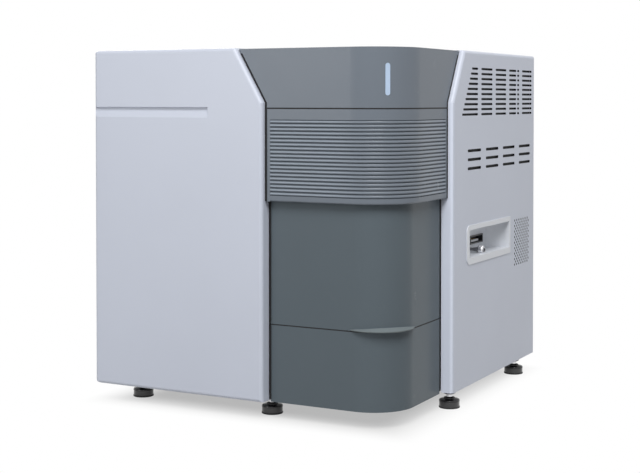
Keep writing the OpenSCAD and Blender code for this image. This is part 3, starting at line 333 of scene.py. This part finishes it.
def paint_lip_highlight(f, plain, colour):
    """Painted highlight: the door's lip, which stands out past its wrapped face, is painted paler
    where its top catches the light.
    """
    low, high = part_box("lower_panel")
    radius = LOWER_RADIUS * MM
    right = (f.axis("X") - (high.x - radius)).at_least(0.0)
    forward = ((low.y + radius) - f.axis("Y")).at_least(0.0)
    out = f.maths("SQRT", right * right + forward * forward) - radius
    return f.mix(out.above(0.4 * MM, 1.6 * MM), plain, (0.175, 0.205, 0.215))


def paint_rib_light_and_shade(f, plain, colour):
    """Painted light on the ribs: their crests are painted lighter as a painted highlight, less so
    towards the right-hand side, and the grooves between them are painted darker as painted shade."""
    low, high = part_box("ribbed_panel")
    height = f.axis("Z") - (low.z + RIBS_ABOVE_FOOT * MM)
    top, soft = RIB_COUNT * RIB_PITCH * MM, 0.5 * MM
    plain_end, ribs_begin = 6.5 * MM, 8 * MM
    ribbed = (height.above(-soft, soft) * (1 - height.above(top - soft, top + soft))
        * f.axis("X").above(low.x + plain_end, low.x + ribs_begin)
        * (1 - f.axis("Y").above(high.y - ribs_begin, high.y - plain_end)))
    wave = f.maths("COSINE", height * (math.tau / (RIB_PITCH * MM)))
    crest = (0.5 - 0.5 * wave).above(0.45, 0.9)
    groove = (0.5 + 0.5 * wave).above(0.55, 1.0)
    # The painted highlight on the crests fades towards the right-hand side, where the sheen is
    # weaker.
    crest_light_fade = 1 - 0.75 * (f.axis("X") - f.axis("Y")).above(0.42, 0.50)
    crests_lit = f.mix(ribbed * crest * crest_light_fade, plain, shade(colour, 1.7))
    # Painted shade darkens the grooves.
    return f.mix(ribbed * groove, crests_lit, shade(colour, 0.55))


def paint_side_light_and_shade(f, plain, colour):
    """Painted light on the side panel: its front return is painted brighter as a painted
    highlight, less where it faces up, and the walls of its vent holes are painted near black as
    painted shade."""
    low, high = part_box("right_panel")
    y, z = f.axis("Y"), f.axis("Z")
    slant = (z - (high.z - KINK_BELOW_TOP * MM)) * LEAN
    back = y - low.y - slant.at_least(0.0)
    normal = f.node("ShaderNodeNewGeometry", {}, {}, "True Normal")
    faces_out, faces_back, faces_up = (f.axis(name, normal) for name in "XYZ")
    # Painted highlight on the front return where it faces the front, less where it faces up.
    bright = ((0 - faces_back).above(0.5, 0.8) * (1 - back.above(1.5 * MM, 3 * MM))
        * (1 - 0.8 * faces_up.above(0.2, 0.4)))
    rear_edge, top_edge = high.y - 5 * MM, high.z - 14 * MM
    vented = (back.above(8 * MM, 10 * MM) * (1 - y.above(rear_edge, rear_edge + 1 * MM))
        * z.above(180 * MM, 185 * MM) * (1 - z.above(top_edge, top_edge + 2 * MM)))
    # Painted shade: the walls of the vent holes are painted near black.
    vent_wall_shade = vented * (1 - abs(faces_out).above(0.2, 0.5))
    return f.mix(vent_wall_shade, f.mix(bright, plain, shade(colour, 1.32)), (0.012, 0.012, 0.014))


def dress(nodes):
    """Gives every CAD node its finish."""
    finishes = {
        powder_coat("white_shell_paint", WHITE, 0.42): ["front_cover", "left_panel",
            "top_cover"],
        # The side panel's paint carries a painted highlight on its front return and painted shade
        # in its vent holes.
        powder_coat("side_shell_paint", WHITE, 0.42, paint_side_light_and_shade): ["right_panel"],
        moulded("white_moulding", WHITE, 0.5): ["rear_panel"],
        # The bay moulding is paler than the shell: partly its own tone, partly a painted highlight
        # for its rounded rim.
        moulded("bay_moulding", (0.70, 0.725, 0.77), 0.35): ["service_tub"],
        moulded("upper_grey_moulding", UPPER_GREY, 0.25, 0.012, 0.2): ["fascia"],
        # The ribbed panel carries painted highlights on its crests and painted shade in its
        # grooves.
        moulded("ribbed_moulding", UPPER_GREY, 0.25, 0.012, 0.2, paint_rib_light_and_shade): ["ribbed_panel"],
        moulded("lower_grey_moulding", LOWER_GREY, 0.25, 0.012, 0.12): ["lower_panel"],
        # The door's lip carries a painted highlight.
        moulded("door_moulding", LOWER_GREY, 0.25, 0.012, 0.12, paint_lip_highlight): ["door_panel"],
        plated_sheet("zinc_sheet", (0.55, 0.56, 0.58), 0.42): ["base_tray", "mid_bulkhead",
            "cover_hinges", "power_supply"],
        powder_coat("frame_powder_coat", (0.32, 0.33, 0.35), 0.55): ["frame_posts",
            "frame_rails"],
        # Painted shade: the liner is near black so that the column's seams in front of it read
        # dark.
        powder_coat("liner_seam_shade_paint", (0.012, 0.012, 0.013), 0.7): ["column_liner"],
        powder_coat("sample_bay_paint", (0.60, 0.61, 0.63), 0.6): ["bay_liner"],
        anodised("black_anodised", (0.035, 0.036, 0.04), 0.45): ["optics_deck",
            "laser_violet", "laser_blue", "laser_red", "objective", "detector_module_1",
            "detector_module_2", "stage_base", "probe_carriage"],
        turned_metal("bare_aluminium", (0.62, 0.63, 0.65), 0.4): ["door_rails",
            "beam_mirrors", "flow_cell_block", "stage_carriage", "probe_column", "pump_rotor"],
        turned_metal("ground_steel", (0.62, 0.62, 0.64), 0.2, 0.5): ["probe_screw",
            "sample_probe", "fan_guard"],
        turned_metal("coupling_nickel", (0.26, 0.26, 0.27), 0.12, 1.5, 0.004):
            ["coupling_body"],
        turned_metal("chrome_plate", (0.72, 0.72, 0.74), 0.1, 1.5, 0.004): ["coupling_sleeve"],
        levelling_foot("foot_black_gloss", 16.2 * MM): FEET,
        moulded("black_moulding", (0.022, 0.022, 0.024), 0.4): ["power_inlet",
            "power_rocker", "fan_frame", "fan_rotor", "data_receptacle", "plate_tray"],
        rubber("black_rubber", (0.015, 0.015, 0.015)): ["deck_isolators"],
        moulded("pale_moulding", (0.62, 0.64, 0.68), 0.42): ["pump_body", "sheath_filter",
            "valve_manifold", "rear_ports", "door_shoes"],
        glass("quartz_cell", (0.90, 0.95, 0.97)): ["flow_cell"],
        glass("clear_tubing", (0.80, 0.86, 0.90), 0.12): ["fluid_tubing"],
        moulded("orange_fibre_jacket", (0.75, 0.25, 0.03), 0.3): ["fibre_bundle"],
        circuit_board("green_board"): ["main_board"],
        lit_lens("status_lens", (0.41, 0.52, 0.68)): ["status_light"],
    }
    bare = set(nodes)
    for finish, names in finishes.items():
        for name in names:
            slots = nodes[name].data.materials
            for i in range(len(slots)):
                slots[i] = finish.material
            bare.discard(name)
    if bare:
        raise SystemExit("no finish for " + ", ".join(sorted(bare)))


# ---------- small fittings ----------

def piece(name, bm, body, finish, smooth=35):
    """Turns mesh data into a named object that rides on a body."""
    bmesh.ops.recalc_face_normals(bm, faces=bm.faces)
    mesh = bpy.data.meshes.new(name)
    bm.to_mesh(mesh)
    bm.free()
    mesh.shade_smooth()
    mesh.set_sharp_from_angle(angle=math.radians(smooth))
    mesh.materials.append(finish.material)
    made = bpy.data.objects.new(name, mesh)
    bpy.context.scene.collection.objects.link(made)
    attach(made, body)


def box_mm(node):
    """A node's lowest and highest corners in mm."""
    low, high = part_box(node)
    return low / MM, high / MM


def upright(x, y, z=0.0):
    return Matrix.Translation((x * MM, y * MM, z * MM))


def facing_right(x, y, z):
    return upright(x, y, z) @ Matrix.Rotation(math.radians(90), 4, "Y")


def facing_rear(x, y, z):
    return upright(x, y, z) @ Matrix.Rotation(math.radians(-90), 4, "X")


def join_rings(bm, rings):
    """Walls between each ring of points and the next."""
    for here, there in zip(rings, rings[1:]):
        count = len(here)
        for k in range(count):
            after = (k + 1) % count
            bm.faces.new((here[k], there[k], there[after], here[after]))


def strip(name, rings, body, finish):
    """A strip along rings of corners in mm, closed at its two ends."""
    bm = bmesh.new()
    rings = [[bm.verts.new(Vector(corner) * MM) for corner in ring] for ring in rings]
    join_rings(bm, rings)
    bm.faces.new(rings[0])
    bm.faces.new(rings[-1])
    piece(name, bm, body, finish)


def turn(bm, profile, place, steps=48, flats=None):
    """Sweeps a closed outline of (radius, height) in mm round place's own Z axis. Where flats is
    given, no point stands outside a hexagon that wide across its flats."""
    rings = []
    sixth = math.pi / 3
    for i in range(steps):
        a = math.tau * i / steps
        from_flat = (a + sixth / 2) % sixth - sixth / 2
        most = flats / 2 / math.cos(from_flat) if flats else math.inf
        ring = []
        for radius, height in profile:
            r = min(radius, most)
            ring.append(bm.verts.new(place @ (Vector((r * math.cos(a), r * math.sin(a),
                height)) * MM)))
        rings.append(ring)
    join_rings(bm, rings + rings[:1])


def fit_feet():
    """On each foot: a dished cap on the pad, a rubber tread and a lock nut on the stud."""
    cap_finish = moulded("gloss_black_cap", (0.012, 0.012, 0.014), 0.2)
    tread_finish = rubber("tread_rubber", (0.02, 0.02, 0.021))
    nut_finish = turned_metal("blackened_nut", (0.10, 0.10, 0.11), 0.3)
    cap_outline = [(5.15, 16.7), (7.9, 15.9), (8.4, 15.2), (8.4, 14.0), (9.4, 13.75),
        (14.6, 12.75), (15.5, 12.2), (16.1, 11.2), (16.1, 10.3), (16.35, 10.3), (16.35, 11.4),
        (15.7, 12.75), (14.7, 13.3), (9.6, 14.2), (8.9, 14.6), (8.9, 15.5), (8.2, 16.3),
        (5.15, 17.3)]
    tread_outline = [(14.0, 0.05), (16.2, 0.05), (16.5, 0.5), (16.5, 2.2), (16.2, 2.6),
        (16.02, 2.6), (16.02, 1.5), (14.5, 0.02)]
    nut_outline = [(5.2, 21.6), (7.4, 21.4), (9.3, 22.2), (9.8, 22.9), (9.8, 28.2), (9.3, 28.9),
        (7.4, 29.7), (5.2, 29.7)]
    for foot in FEET:
        low, high = box_mm(foot)
        place = upright((low.x + high.x) / 2, (low.y + high.y) / 2)
        cap, tread, nut = bmesh.new(), bmesh.new(), bmesh.new()
        turn(cap, cap_outline, place)
        piece(foot + "_cap", cap, foot, cap_finish)
        turn(tread, tread_outline, place)
        piece(foot + "_tread", tread, foot, tread_finish)
        turn(nut, nut_outline, place, 72, flats=17)
        piece(foot + "_lock_nut", nut, "housing", nut_finish)


def foam_sheet(name, x, y0, y1, z0, z1, finish, front_edge=None):
    """A near-black sheet standing behind a field of vents, painted shade for the dark inside of
    the housing; its face is a little uneven like open-celled foam.
    front_edge, where given, is the least y at a height."""
    thick, step = 2.4, 3.0
    bm = bmesh.new()
    columns, rows = (max(2, round(reach / step)) for reach in (y1 - y0, z1 - z0))
    sides = []
    for back in (False, True):
        grid = []
        for i in range(columns + 1):
            column = []
            for k in range(rows + 1):
                z = z0 + (z1 - z0) * k / rows
                start = max(y0, front_edge(z)) if front_edge else y0
                y = start + (y1 - start) * i / columns
                ragged = (0.35 * noise.noise(Vector((y, z, 7)) * 0.21)
                    + 0.2 * noise.noise(Vector((z, y, 3)) * 0.9))
                face = x - thick if back else x + ragged - 0.5
                column.append(bm.verts.new(Vector((face, y, z)) * MM))
            grid.append(column)
        sides.append(grid)
    for grid in sides:
        for i in range(columns):
            for k in range(rows):
                bm.faces.new((grid[i][k], grid[i + 1][k], grid[i + 1][k + 1], grid[i][k + 1]))
    front, rear = sides
    for i in range(columns):
        for k in (0, rows):
            bm.faces.new((front[i][k], front[i + 1][k], rear[i + 1][k], rear[i][k]))
    for k in range(rows):
        for i in (0, columns):
            bm.faces.new((front[i][k], front[i][k + 1], rear[i][k + 1], rear[i][k]))
    piece(name, bm, "housing", finish)


def fit_vent_shade_sheets():
    """Near-black foam sheets behind the side panel's vents and perforations, bulging into the
    perforations: painted shade for the dark inside of the housing.
    """
    finish = rubber("vent_shade_foam", (0.006, 0.006, 0.007))
    low, high = box_mm("right_panel")
    sheet_thick, behind_edge = 3.2, 12
    inside = high.x - sheet_thick
    kink = high.z - KINK_BELOW_TOP

    def slanted(z):
        return low.y + behind_edge + (z - kink) * LEAN

    foam_sheet("upper_vent_shade_sheet", inside, -82, 280, 450, 541, finish, slanted)
    foam_sheet("lower_vent_shade_sheet", inside, -42, 274, 366, 408, finish)
    foam_sheet("perforation_shade_sheet", inside, 178, 266, 188, 282, finish)
    rows, columns, row_pitch, column_pitch = 17, 7, 4.77, 10.9
    first_y, first_z = high.y - 101, 197
    bulges = bmesh.new()
    for row in range(rows):
        for column in range(columns):
            y = first_y + (column + (row % 2) / 2) * column_pitch
            turn(bulges, [(0.02, 0), (0.02, 3.05), (0.9, 3.0), (1.6, 2.85), (2.0, 2.6), (2.0, 0)],
                facing_right(inside, y, first_z + row * row_pitch), 12)
    piece("perforation_shade_sheet_bulges", bulges, "housing", finish)


def wrap_path(inset, radius, steps=20):
    """Points in mm, seen from above, round the column at inset from the white faces. They stop
    just short of the column's ends."""
    side = box_mm("right_panel")[1].x - inset
    front = box_mm("front_cover")[0].y + inset
    path = [(COLUMN_LEFT + 1, front)]
    for i in range(steps + 1):
        a = math.radians(-90 + 90 * i / steps)
        path.append((side - radius + radius * math.cos(a), front + radius + radius * math.sin(a)))
    return path + [(side, COLUMN_REAR - 1.5)]


def seam_shadow_strip(name, z0, z1, inset, radius, proud, finish):
    """A thin near-black strip lying in a seam of the column, painted shadow that deepens the
    seam's shadow line; its outer face stands proud mm out.
    """
    deep = 1.6
    outer = wrap_path(inset - proud, radius + proud)
    inner = wrap_path(inset + deep, radius - deep)
    soft = min(0.3, (z1 - z0) / 4)
    rings = []
    for (ox, oy), (ix, iy) in zip(outer, inner):
        mx, my = ox + (ix - ox) * 0.15, oy + (iy - oy) * 0.15
        rings.append([(mx, my, z0), (ox, oy, z0 + soft), (ox, oy, z1 - soft), (mx, my, z1),
            (ix, iy, z1), (ix, iy, z0)])
    strip(name, rings, "housing", finish)


def edge_shadow_strip(name, path, across, out, body, finish):
    """A near-black strip up a panel's edge, painted shadow for the shadow gap beside it. across
    and out are the (from, to, axis) of its section in mm, and out runs inwards from the strip's
    softened outer face."""
    soft = 0.2
    (left, right, a_axis), (face, back, o_axis) = across, out
    shoulder = face + math.copysign(soft, back - face)
    section = [(left + soft, face), (right - soft, face), (right, shoulder), (right, back),
        (left, back), (left, shoulder)]
    rings = []
    for point in path:
        ring = []
        for a, o in section:
            corner = list(point)
            corner[a_axis] += a
            corner[o_axis] += o
            ring.append(corner)
        rings.append(ring)
    strip(name, rings, body, finish)


def fit_shadow_strips():
    """Near-black strips in the column's two seams and up both sides of its mouldings: painted
    shadow along seams and gaps that lie in shade.
    """
    finish = rubber("shadow_strip_black", (0.002, 0.002, 0.003))
    fascia_low, fascia_high = box_mm("fascia")
    lower_low, lower_high = box_mm("lower_panel")
    seam_shadow_strip("fascia_seam_shadow_strip", fascia_low.z - 1.9, fascia_low.z + 0.5, UPPER_INSET,
        UPPER_RADIUS, 0.15, finish)
    seam_shadow_strip("lower_seam_shadow_strip", lower_high.z - 0.5, lower_high.z + 1.1, LOWER_INSET,
        LOWER_RADIUS, 0.12, finish)

    x_axis, y_axis = 0, 1
    left, rear = COLUMN_LEFT, COLUMN_REAR
    ribbed_foot = box_mm("ribbed_panel")[0].z
    foot, top = ribbed_foot + 0.5, fascia_high.z - 7
    kink = box_mm("right_panel")[1].z - KINK_BELOW_TOP
    lean = (top - kink) * LEAN
    front, side = fascia_low.y, fascia_high.x
    edge_shadow_strip("upper_left_edge",
        [(left, front, foot), (left, front, kink), (left - lean, front, top)],
        (-1.7, 1.8, x_axis), (-0.3, 3, y_axis), "housing", finish)
    edge_shadow_strip("upper_right_edge",
        [(side, rear, foot), (side, rear, kink), (side, rear + lean, top)],
        (-3.0, 1.7, y_axis), (0.3, -3, x_axis), "housing", finish)

    front, side = lower_low.y, lower_high.x
    for name, body, foot, top in (
            ("door", "sample_door", lower_high.z + 4, ribbed_foot - 0.5),
            ("lower", "housing", lower_low.z + 4, lower_high.z - 1)):
        edge_shadow_strip(name + "_left_edge", [(left, front, foot), (left, front, top)],
            (-0.8, 2.6, x_axis), (-0.25, 2.6, y_axis), body, finish)
        edge_shadow_strip(name + "_right_edge", [(side, rear, foot), (side, rear, top)],
            (-3.6, 0.7, y_axis), (0.25, -2.6, x_axis), body, finish)


def rounded_block(name, low, high, radius, body, finish):
    """A block between two corners in mm with rounded edges."""
    bm = bmesh.new()
    bmesh.ops.create_cube(bm, size=1)
    for v in bm.verts:
        v.co = Vector([(a + b) / 2 + (b - a) * c for a, b, c in zip(low, high, v.co)]) * MM
    bmesh.ops.bevel(bm, geom=bm.edges[:], offset=radius * MM, segments=3, profile=0.5,
        affect="EDGES")
    piece(name, bm, body, finish, 60)


def fit_receptacle():
    """The contact tongue of the receptacle in the service bay, with a row of contacts."""
    low, high = box_mm("data_receptacle")
    x, y, z = high.x - 1.5, low.y + 4.8, low.z + 4.0
    rounded_block("receptacle_tongue", (x - 11, y - 0.3, z - 0.3), (x + 1.2, y + 32.3, z + 3.7),
        0.5, "housing", moulded("tongue_plastic", (0.55, 0.56, 0.58), 0.4))
    count, pitch = 12, 2.5
    size = Matrix.Diagonal((9 * MM, 1.3 * MM, 0.3 * MM, 1))
    contacts = bmesh.new()
    for i in range(count):
        place = upright(x - 4.2, y + 2.9 + i * pitch, z + 3.75)
        bmesh.ops.create_cube(contacts, size=1, matrix=place @ size)
    bmesh.ops.bevel(contacts, geom=contacts.edges[:], offset=0.08 * MM, segments=1,
        affect="EDGES")
    piece("receptacle_contacts", contacts, "housing",
        turned_metal("contact_gold", (0.75, 0.55, 0.22), 0.3))


def fit_coupling_grip():
    """The grooved grip of the coupling's release sleeve, and the seal ring in its mouth."""
    low, high = box_mm("coupling_sleeve")
    place = facing_right(low.x, (low.y + high.y) / 2, (low.z + high.z) / 2)
    grip, ring = bmesh.new(), bmesh.new()
    turn(grip, [(4.9, 0.6), (6.4, 0.6), (7.0, 1.2), (7.0, 2.2), (6.6, 2.5), (6.6, 3.1),
        (7.0, 3.4), (7.0, 4.4), (6.6, 4.7), (6.6, 5.3), (7.0, 5.6), (7.0, 6.8), (6.4, 7.7),
        (4.9, 8.3)], place, 60)
    piece("coupling_grip", grip, "coupling_sleeve",
        turned_metal("grip_chrome", (0.70, 0.70, 0.72), 0.12, 1.0))
    turn(ring, [(4.95, -0.4), (5.8, -0.4), (6.1, 0.0), (5.8, 0.45), (4.95, 0.45)], place)
    piece("coupling_wiper", ring, "coupling_sleeve",
        rubber("wiper_rubber", (0.012, 0.012, 0.012)))


def button_screw(bm, place, size):
    """A button head with a hexagon socket; size is the head's radius in mm."""
    outline = [(0.44, 0.22), (0.44, 0.53), (0.5, 0.55), (0.72, 0.5), (0.9, 0.32), (1, 0.1),
        (1, 0)]
    axis = [(0.02, 0.0), (0.02, 0.22 * size)]
    turn(bm, axis + [(r * size, z * size) for r, z in outline], place, 30)


def fit_rear_screws():
    """Screws that hold the rear panel and the fan."""
    finish = turned_metal("screw_steel", (0.55, 0.55, 0.57), 0.28)
    face = box_mm("rear_panel")[1].y
    along_top_and_foot = [(x, z) for x in (-256, -90, 85, 253) for z in (52, 536)]
    up_the_sides = [(x, z) for x in (-256, 253) for z in (200, 370)]
    panel, fan = bmesh.new(), bmesh.new()
    for x, z in along_top_and_foot + up_the_sides:
        button_screw(panel, facing_rear(x, face, z), 4.2)
    piece("rear_panel_screws", panel, "housing", finish)
    low, high = box_mm("fan_guard")
    inwards = 3
    for x in (low.x + inwards, high.x - inwards):
        for z in (low.z + inwards, high.z - inwards):
            button_screw(fan, facing_rear(x, high.y - 1.4, z), 4.6)
    piece("fan_guard_screws", fan, "housing", finish)


# ---------- studio ----------

def lay_floor():
    """A pale floor that keeps the soft shadow round the part's foot and is white beyond it."""
    reach = 30
    mesh = bpy.data.meshes.new("studio_floor")
    mesh.from_pydata([(-reach, -reach, 0), (reach, -reach, 0), (reach, reach, 0),
        (-reach, reach, 0)], [], [(0, 1, 2, 3)])
    floor = bpy.data.objects.new("studio_floor", mesh)
    bpy.context.scene.collection.objects.link(floor)
    f = Finish("studio_floor", base_color=(0.46, 0.455, 0.445), roughness=0.9)
    half_width, half_depth = 0.27, 0.2875
    away = f.maths("SMOOTH_MAX", abs(f.axis("X")) - half_width, abs(f.axis("Y")) - half_depth,
        0.05)
    white = f.node("ShaderNodeEmission", {}, {"Color": (1.0, 1.0, 1.0), "Strength": 1.0})
    f.feed(f.surface, f.blend(f.looks_past() * (0.42 + 0.58 * away.above(-0.08, 0.03)),
        f.body, white))
    mesh.materials.append(f.material)


def hang_world():
    """Soft light from all round, and a white background for what looks past the part."""
    world = bpy.data.worlds.new("studio_world")
    bpy.context.scene.world = world
    sky = Tree(world, "ShaderNodeOutputWorld")
    soft, white = (sky.node("ShaderNodeBackground", {}, {"Color": (1, 1, 1), "Strength": glow})
        for glow in (0.2, 1.0))
    sky.feed(sky.surface, sky.blend(sky.looks_past(), soft, white))


def hang_softbox(name, azimuth, reach, height, width, tall, glow):
    """A softbox width by tall metres, reach metres out and height up, glow times white. It aims
    at the part's middle."""
    light = bpy.data.lights.new(name, "AREA")
    light.shape = "RECTANGLE"
    light.size, light.size_y = width, tall
    light.energy = glow * 4 * width * tall
    lamp = bpy.data.objects.new(name, light)
    a = math.radians(azimuth)
    lamp.location = (math.cos(a) * reach, math.sin(a) * reach, height)
    middle = Vector((0, 0, 0.28))
    lamp.rotation_euler = (lamp.location - middle).to_track_quat("Z", "Y").to_euler()
    lamp.visible_camera = False
    bpy.context.scene.collection.objects.link(lamp)


def main():
    place_camera()
    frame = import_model()
    dress(frame["nodes"])
    fit_feet()
    fit_shadow_strips()
    fit_receptacle()
    fit_coupling_grip()
    fit_vent_shade_sheets()
    fit_rear_screws()
    lay_floor()
    hang_world()
    hang_softbox("left_softbox", -114, 2.2, 0.8, 0.6, 0.9, 3.5)
    hang_softbox("front_softbox", -56, 1.85, 2.15, 1.2, 1.2, 9.4)
    hang_softbox("right_softbox", 32, 1.35, 1.75, 1.0, 1.0, 1.5)
    hang_softbox("rear_softbox", 140, 2.4, 1.4, 1.4, 1.4, 3.6)
    bpy.context.scene.view_settings.view_transform = "Standard"


main()
